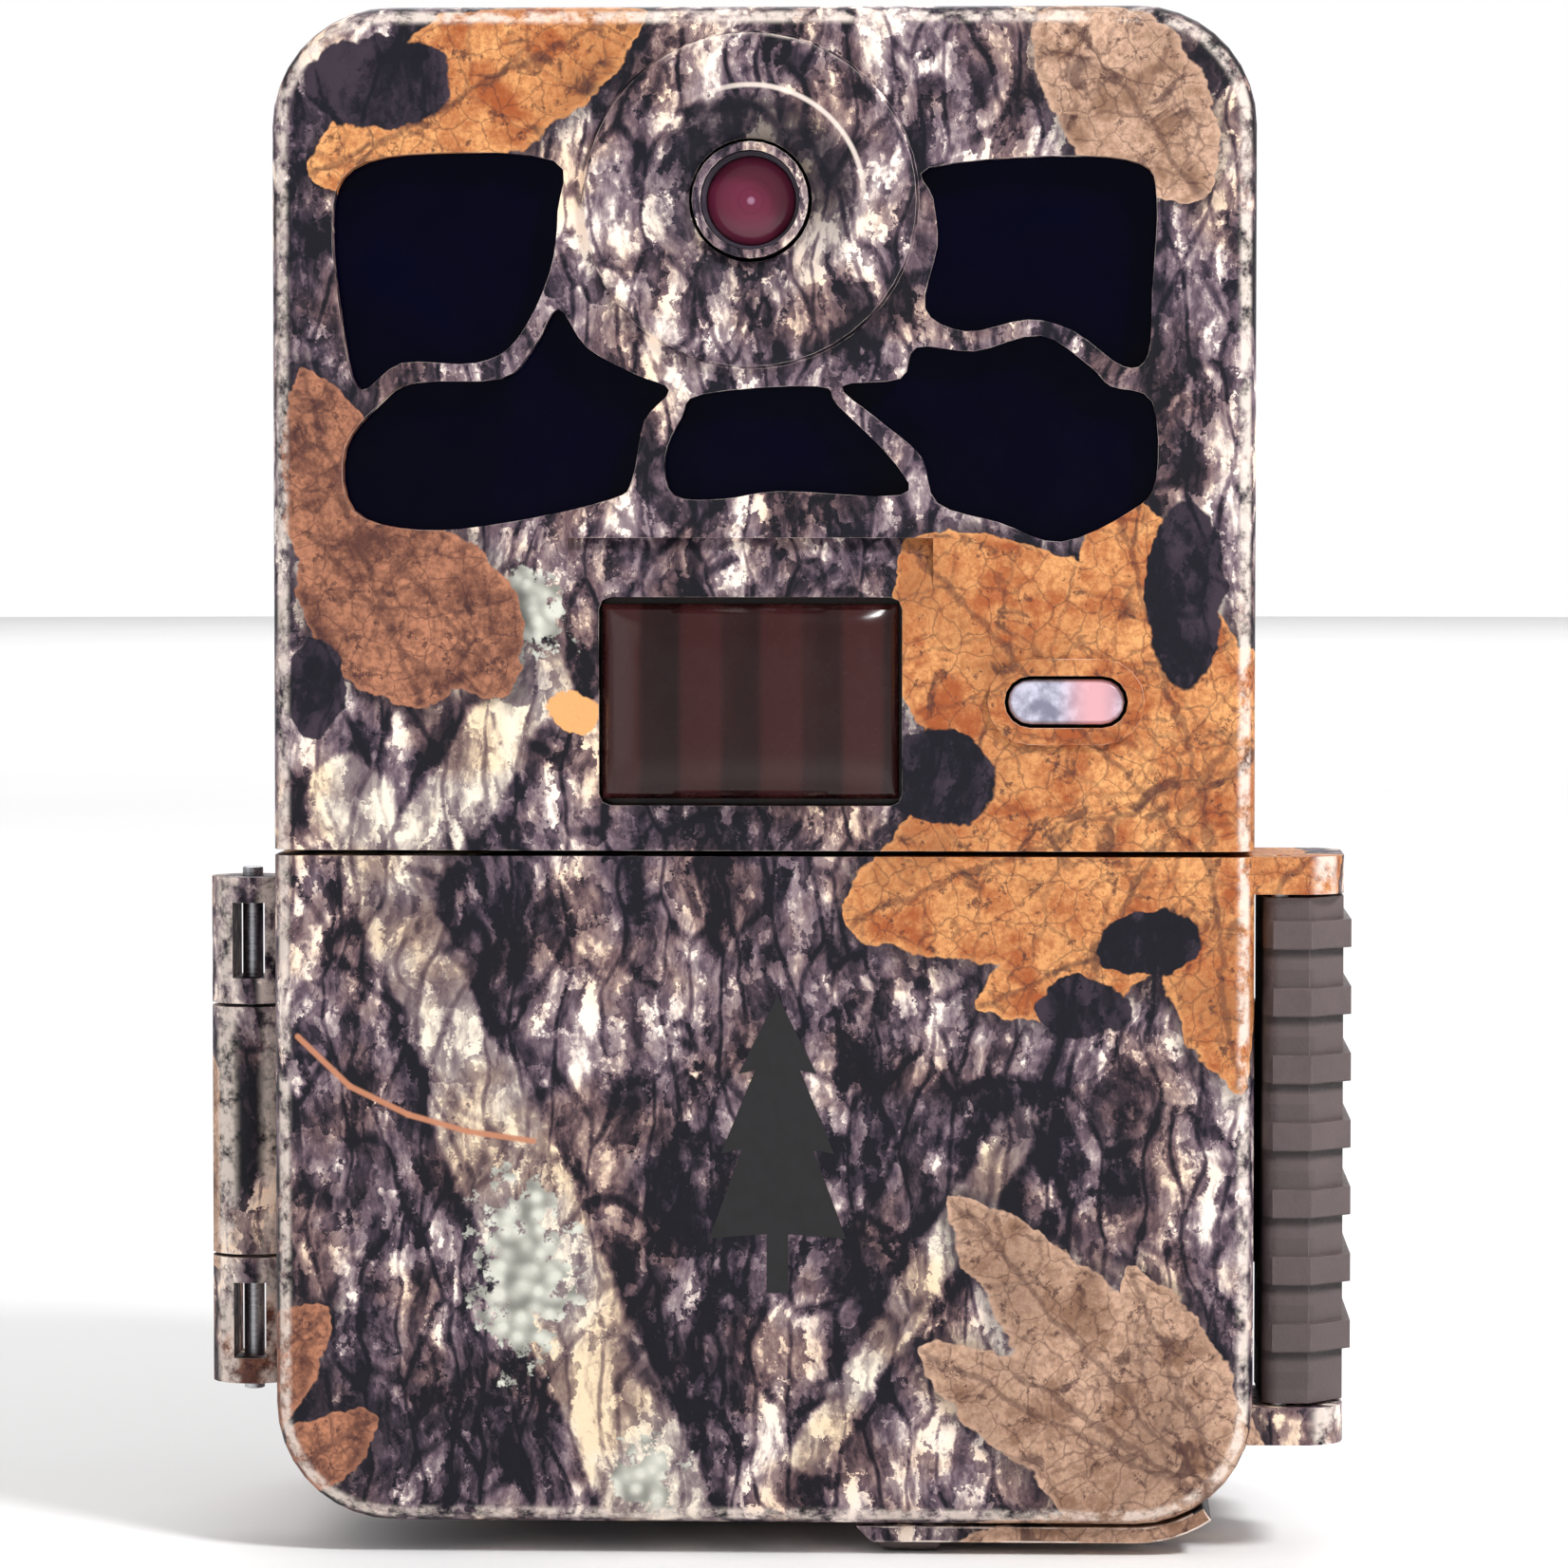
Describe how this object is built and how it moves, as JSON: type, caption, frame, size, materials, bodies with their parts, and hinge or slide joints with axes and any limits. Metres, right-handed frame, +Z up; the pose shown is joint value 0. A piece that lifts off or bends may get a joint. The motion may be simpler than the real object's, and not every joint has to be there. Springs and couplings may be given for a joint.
{
  "type": "trail camera",
  "caption": "Camouflaged trail camera with a hinged control door, side latch, slide-out battery tray and tilting tree bracket.",
  "frame": {"origin": "centre of the tree bracket's flat back, where it lies against the tree", "axes": "+Z up along the case, +Y out of the back towards the tree, -Y the way the lens looks, +X towards the latch"},
  "size_m": [0.0993, 0.0701, 0.1308],
  "materials": {
    "camo": "matte camouflage print",
    "steel": "satin",
    "black_plastic": "satin",
    "gloss_black": "polished",
    "latch_brown": "soft matte",
    "lens_glass": "coated",
    "motion_brown": "smooth",
    "clear": "milky",
    "board_green": "lacquered",
    "rubber": "matte",
    "button_grey": "matte",
    "screen": "polished",
    "brass": "turned",
    "cell": "gloss sleeve",
    "card_blue": "satin"
  },
  "bodies": {
    "case": {"rear_housing": "camo", "front_housing": "camo", "case_screw_1": "steel", "case_screw_2": "steel", "case_screw_3": "steel", "case_screw_4": "steel", "ir_filter_window": "gloss_black", "infrared_led_board": "board_green", "lens_barrel": "black_plastic", "lens_glass": "lens_glass", "image_sensor": "black_plastic", "motion_lens": "motion_brown", "motion_sensor": "steel", "indicator_lens": "clear", "status_led": "clear", "main_board": "board_green", "control_deck": "black_plastic", "door_seal": "rubber", "keypad_board": "board_green", "display_screen": "screen", "memory_card_socket": "steel", "battery_terminal_plate": "board_green", "power_jack": "black_plastic", "tripod_insert": "brass", "hinge_pin": "steel", "pivot_bolt": "steel"},
    "door": {"front_door": "camo", "latch_pin": "steel"},
    "latch": {"latch": "latch_brown"},
    "tray": {"tray_frame": "black_plastic", "battery_1": "cell", "battery_2": "cell", "battery_3": "cell", "battery_4": "cell", "battery_5": "cell", "battery_6": "cell", "battery_7": "cell", "battery_8": "cell"},
    "release_tab": {"tray_release_tab": "latch_brown"},
    "button_up": {"button_up": "button_grey"},
    "button_down": {"button_down": "button_grey"},
    "button_left": {"button_left": "button_grey"},
    "button_right": {"button_right": "button_grey"},
    "button_ok": {"button_ok": "button_grey"},
    "button_mode": {"button_mode": "button_grey"},
    "power_switch": {"power_switch": "button_grey"},
    "memory_card": {"memory_card": "card_blue"},
    "jack_plug": {"power_jack_plug": "rubber"},
    "bracket": {"tree_bracket": "steel"},
    "knob": {"tilt_knob": "black_plastic"}
  },
  "joints": [
    {"name": "door_hinge", "type": "hinge", "parent": "case", "child": "door", "pos_m": [-0.0454, -0.04935, 0], "axis": [0, 0, -1], "range_deg": [0, 135]},
    {"name": "latch_pivot", "type": "hinge", "parent": "door", "child": "latch", "pos_m": [0.0437, -0.0637, 0], "axis": [0, 0, -1], "range_deg": [0, 90]},
    {"name": "tray_slide", "type": "slide", "parent": "case", "child": "tray", "axis": [0, 0, -1], "range_m": [0, 0.1]},
    {"name": "tab_slide", "type": "slide", "parent": "tray", "child": "release_tab", "axis": [1, 0, 0], "range_m": [0, 0.002], "stiffness_N_per_m": 300},
    {"name": "button_up_press", "type": "slide", "parent": "case", "child": "button_up", "axis": [0, 1, 0], "range_m": [0, 0.0006], "stiffness_N_per_m": 800},
    {"name": "button_down_press", "type": "slide", "parent": "case", "child": "button_down", "axis": [0, 1, 0], "range_m": [0, 0.0006], "stiffness_N_per_m": 800},
    {"name": "button_left_press", "type": "slide", "parent": "case", "child": "button_left", "axis": [0, 1, 0], "range_m": [0, 0.0006], "stiffness_N_per_m": 800},
    {"name": "button_right_press", "type": "slide", "parent": "case", "child": "button_right", "axis": [0, 1, 0], "range_m": [0, 0.0006], "stiffness_N_per_m": 800},
    {"name": "button_ok_press", "type": "slide", "parent": "case", "child": "button_ok", "axis": [0, 1, 0], "range_m": [0, 0.0006], "stiffness_N_per_m": 800},
    {"name": "button_mode_press", "type": "slide", "parent": "case", "child": "button_mode", "axis": [0, 1, 0], "range_m": [0, 0.0006], "stiffness_N_per_m": 800},
    {"name": "power_switch_slide", "type": "slide", "parent": "case", "child": "power_switch", "axis": [1, 0, 0], "range_m": [0, 0.006]},
    {"name": "memory_card_slide", "type": "slide", "parent": "case", "child": "memory_card", "axis": [0, -1, 0], "range_m": [-0.001, 0.004]},
    {"name": "jack_plug_pull", "type": "slide", "parent": "case", "child": "jack_plug", "axis": [0, 0, -1], "range_m": [0, 0.008]},
    {"name": "bracket_tilt", "type": "hinge", "parent": "case", "child": "bracket", "pos_m": [0, -0.0075, 0], "axis": [1, 0, 0], "range_deg": [-18, 18]},
    {"name": "knob_turn", "type": "hinge", "parent": "case", "child": "knob", "pos_m": [0, -0.0075, 0], "axis": [1, 0, 0], "range_deg": [-360, 360]}
  ]
}
